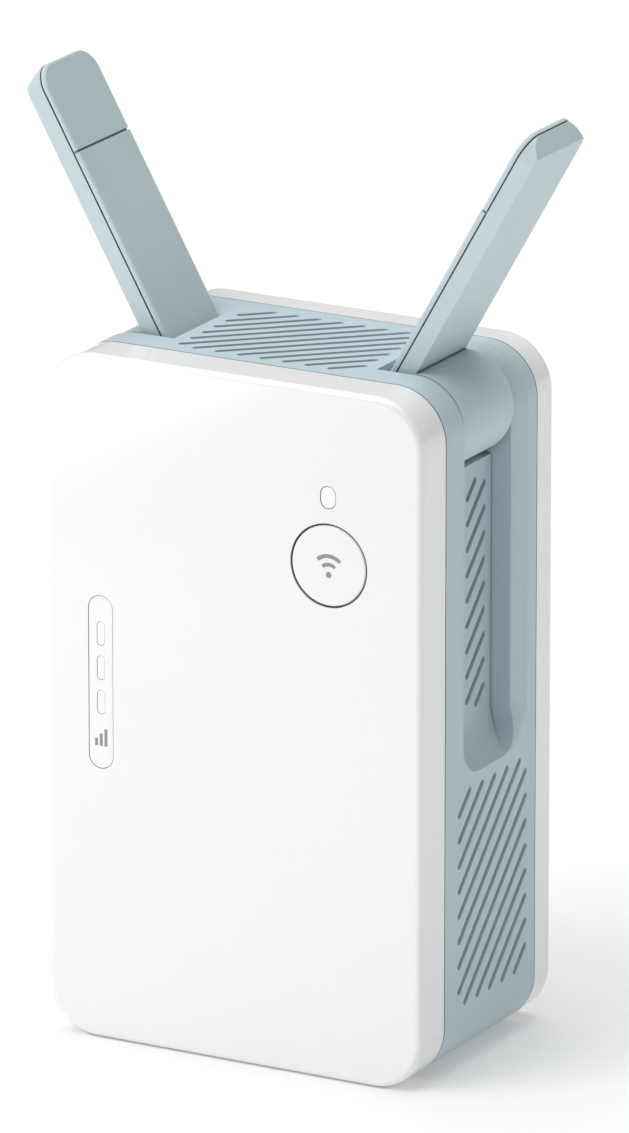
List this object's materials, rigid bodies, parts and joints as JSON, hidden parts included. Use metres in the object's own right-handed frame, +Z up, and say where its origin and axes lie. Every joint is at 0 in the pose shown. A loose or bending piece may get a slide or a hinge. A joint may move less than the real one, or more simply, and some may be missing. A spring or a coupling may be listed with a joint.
{
  "type": "plug-in wifi range extender",
  "caption": "Upright wall-plug wireless range extender: white rounded-slab case with a blue-grey vented band, hinged blade antennas at the top corners, pairing button and signal lights.",
  "frame": {"origin": "centre of the mains plug on the flat rear (wall side) face of the case", "axes": "+X to the right seen from the front, +Y from the front face into the wall, along the plug pins, +Z up"},
  "size_m": [0.1044, 0.087, 0.1766],
  "materials": {
    "antenna_blue": "fine satin texture",
    "board_green": "solder mask over glass laminate",
    "can_sleeve": "shrink sleeve",
    "chip_black": "moulded package",
    "contact_gold": "gold plated",
    "emitter": "moulded lens",
    "ferrite": "sintered",
    "film_box": "moulded box",
    "frame_blue": "fine satin texture",
    "fuse_body": "moulded",
    "inner_white": "moulded, satin",
    "insert_black": "moulded",
    "label_silver": "blank film label",
    "lead_black": "cable jacket",
    "lead_brown": "wire insulation",
    "lead_red": "wire insulation",
    "light_guide": "diffusing, polished ends",
    "pad_grey": "soft silicone",
    "pin_nickel": "nickel plated brass",
    "pin_steel": "turned",
    "plunger_white": "moulded",
    "print_grey": "printed ink",
    "screw_steel": "zinc plated",
    "shield_tin": "tin plated sheet",
    "sink_aluminium": "extruded",
    "sleeve_black": "moulded on",
    "switch_black": "moulded",
    "white_gloss": "high gloss",
    "winding_tape": "polyester tape",
    "window_white": "gloss, slightly milky"
  },
  "bodies": {
    "housing": {"front_shell": "white_gloss", "mid_frame": "frame_blue", "rear_shell": "white_gloss", "signal_window": "window_white", "signal_light_guide": "light_guide", "signal_bars": "print_grey", "status_light_guide": "light_guide", "light_emitters": "emitter", "button_guide": "inner_white", "pairing_switch": "switch_black", "main_board": "board_green", "board_screws": "screw_steel", "processor": "chip_black", "memory_chip": "chip_black", "thermal_pad": "pad_grey", "heat_sink": "sink_aluminium", "radio_shields": "shield_tin", "aerial_sockets": "contact_gold", "aerial_leads": "lead_black", "ethernet_shell": "shield_tin", "ethernet_insert": "insert_black", "ethernet_contacts": "contact_gold", "reset_switch": "switch_black", "power_board": "board_green", "power_board_screws": "screw_steel", "transformer_core": "ferrite", "transformer_winding": "winding_tape", "mains_capacitors": "can_sleeve", "output_capacitors": "can_sleeve", "film_capacitor": "film_box", "line_choke": "ferrite", "fuse": "fuse_body", "supply_lead": "lead_red", "plug_base": "inner_white", "plug_pins": "pin_nickel", "pin_sleeves": "sleeve_black", "pin_leads": "lead_brown", "housing_screws": "screw_steel", "rating_label": "label_silver", "right_hinge_pin": "pin_steel", "right_washer": "pin_steel", "left_hinge_pin": "pin_steel", "left_washer": "pin_steel"},
    "right_antenna": {"right_antenna_shell": "antenna_blue", "right_antenna_cover": "antenna_blue", "right_antenna_tip": "antenna_blue", "right_antenna_board": "board_green"},
    "left_antenna": {"left_antenna_shell": "antenna_blue", "left_antenna_cover": "antenna_blue", "left_antenna_tip": "antenna_blue", "left_antenna_board": "board_green"},
    "button": {"pairing_button": "white_gloss", "button_glyph": "print_grey"},
    "switch_plunger": {"pairing_plunger": "switch_black"},
    "reset": {"reset_plunger": "plunger_white"}
  },
  "joints": [
    {"name": "right_antenna_hinge", "type": "hinge", "parent": "housing", "child": "right_antenna", "pos_m": [0.0284, -0.0244, 0.0443], "axis": [0, 1, 0], "range_deg": [-15, 150.5]},
    {"name": "left_antenna_hinge", "type": "hinge", "parent": "housing", "child": "left_antenna", "pos_m": [-0.0284, -0.0244, 0.0443], "axis": [0, -1, 0], "range_deg": [-15, 150.5]},
    {"name": "button_press", "type": "slide", "parent": "housing", "child": "button", "axis": [0, 1, 0], "range_m": [0, 0.0004], "stiffness_N_per_m": 800, "springref_m": -0.0004},
    {"name": "plunger_press", "type": "slide", "parent": "housing", "child": "switch_plunger", "axis": [0, 1, 0], "range_m": [0, 0.0004]},
    {"name": "reset_press", "type": "slide", "parent": "housing", "child": "reset", "axis": [0, 0, 1], "range_m": [0, 0.0003], "stiffness_N_per_m": 500, "springref_m": -0.0003}
  ],
  "couplings": [
    {"joint": "plunger_press", "follows": "button_press", "ratio": 1}
  ]
}
